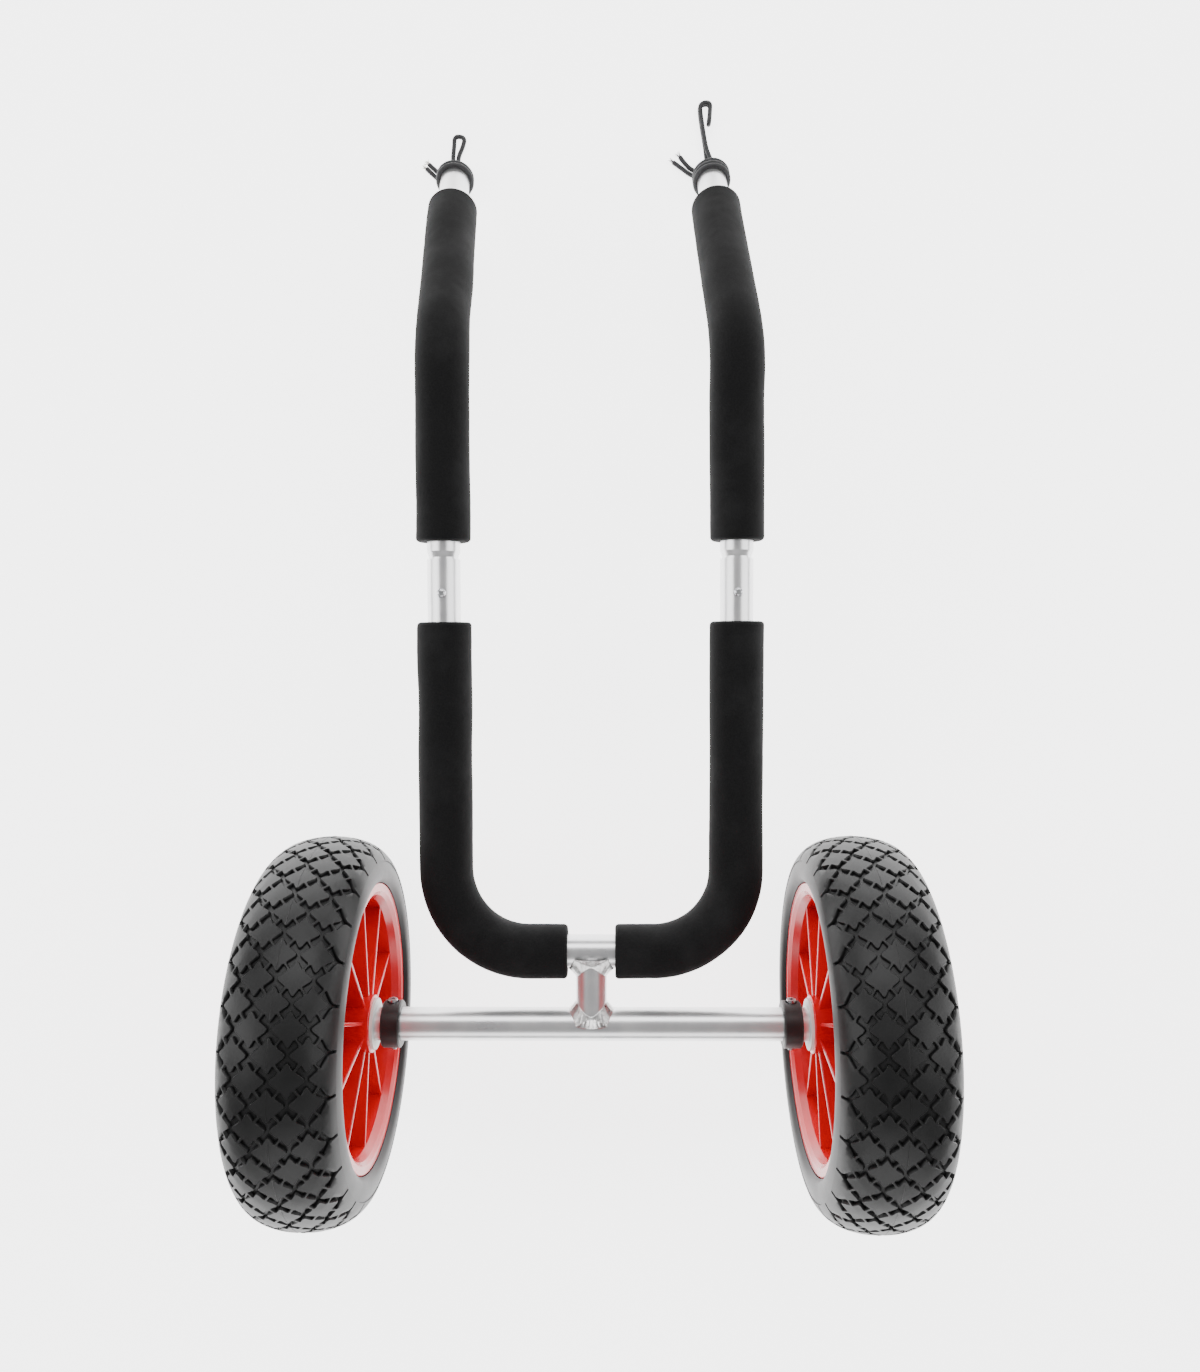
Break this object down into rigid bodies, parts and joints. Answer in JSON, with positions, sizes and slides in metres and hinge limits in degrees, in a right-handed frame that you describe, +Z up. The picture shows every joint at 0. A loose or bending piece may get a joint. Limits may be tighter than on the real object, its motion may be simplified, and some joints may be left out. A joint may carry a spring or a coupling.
{
  "type": "two-wheeled paddleboard cart",
  "caption": "Two-wheeled board cart: a foam-padded U frame on an axle, with two bent pull-off arms tipped with shock cord.",
  "frame": {"origin": "on the floor under the middle of the cart's box as it lies parked, free cords left out", "axes": "+X along the axle to the right wheel, +Y from the axle towards the arm tips, +Z up"},
  "size_m": [0.526, 0.9226, 0.292],
  "materials": {
    "aluminium_tube": "satin brushed and clear anodised",
    "weld": "rippled weld bead",
    "foam": "matte closed-cell foam sleeve",
    "tyre": "moulded solid foam tyre",
    "red_plastic": "gloss red moulding",
    "black_plastic": "matte black moulding",
    "nylon": "natural nylon",
    "steel": "zinc plated steel",
    "cord": "braided black shock cord"
  },
  "bodies": {
    "root": {"lower_frame_tube": "aluminium_tube", "stem_tube": "aluminium_tube", "upper_weld_bead": "weld", "lower_weld_bead": "weld", "axle_tube": "aluminium_tube", "lower_foam_left": "foam", "axle_collar_left": "black_plastic", "collar_screw_left": "steel", "collar_nut_left": "steel", "axle_washer_left": "steel", "axle_end_plug_left": "black_plastic", "lower_foam_right": "foam", "axle_collar_right": "black_plastic", "collar_screw_right": "steel", "collar_nut_right": "steel", "axle_washer_right": "steel", "axle_end_plug_right": "black_plastic"},
    "wheel_left": {"tyre_left": "tyre", "rim_left": "red_plastic", "inner_hub_bush_left": "nylon", "outer_hub_bush_left": "nylon"},
    "arm_left": {"upper_arm_tube_left": "aluminium_tube", "upper_foam_left": "foam", "tip_plug_left": "black_plastic", "cord_wrap_left": "cord", "cord_loop_left": "cord", "cord_tail_left_1": "cord", "cord_tail_left_2": "cord", "button_spring_left": "steel"},
    "button_left": {"snap_button_left": "steel"},
    "clip_left": {"retaining_clip_left": "steel"},
    "wheel_right": {"tyre_right": "tyre", "rim_right": "red_plastic", "inner_hub_bush_right": "nylon", "outer_hub_bush_right": "nylon"},
    "arm_right": {"upper_arm_tube_right": "aluminium_tube", "upper_foam_right": "foam", "tip_plug_right": "black_plastic", "cord_wrap_right": "cord", "cord_loop_right": "cord", "cord_tail_right_1": "cord", "cord_tail_right_2": "cord", "button_spring_right": "steel"},
    "button_right": {"snap_button_right": "steel"},
    "clip_right": {"retaining_clip_right": "steel"}
  },
  "joints": [
    {"name": "wheel_left_spin", "type": "hinge", "parent": "root", "child": "wheel_left", "pos_m": [-0.2077, -0.28587, 0.146], "axis": [1, 0, 0], "continuous": true},
    {"name": "arm_left_pull", "type": "slide", "parent": "root", "child": "arm_left", "axis": [0, 1, 0], "range_m": [0, 0.075], "deforming": ["snap_button_left"]},
    {"name": "button_left_press", "type": "slide", "parent": "arm_left", "child": "button_left", "axis": [0, 0, -1], "range_m": [0, 0.005], "stiffness_N_per_m": 1500, "springref_m": -0.004, "deforming": ["button_spring_left"]},
    {"name": "clip_left_pull", "type": "slide", "parent": "root", "child": "clip_left", "axis": [0, 0, 1], "range_m": [0, 0.045]},
    {"name": "wheel_right_spin", "type": "hinge", "parent": "root", "child": "wheel_right", "pos_m": [0.2077, -0.28587, 0.146], "axis": [1, 0, 0], "continuous": true},
    {"name": "arm_right_pull", "type": "slide", "parent": "root", "child": "arm_right", "axis": [0, 1, 0], "range_m": [0, 0.075], "deforming": ["snap_button_right"]},
    {"name": "button_right_press", "type": "slide", "parent": "arm_right", "child": "button_right", "axis": [0, 0, -1], "range_m": [0, 0.005], "stiffness_N_per_m": 1500, "springref_m": -0.004, "deforming": ["button_spring_right"]},
    {"name": "clip_right_pull", "type": "slide", "parent": "root", "child": "clip_right", "axis": [0, 0, 1], "range_m": [0, 0.045]}
  ]
}
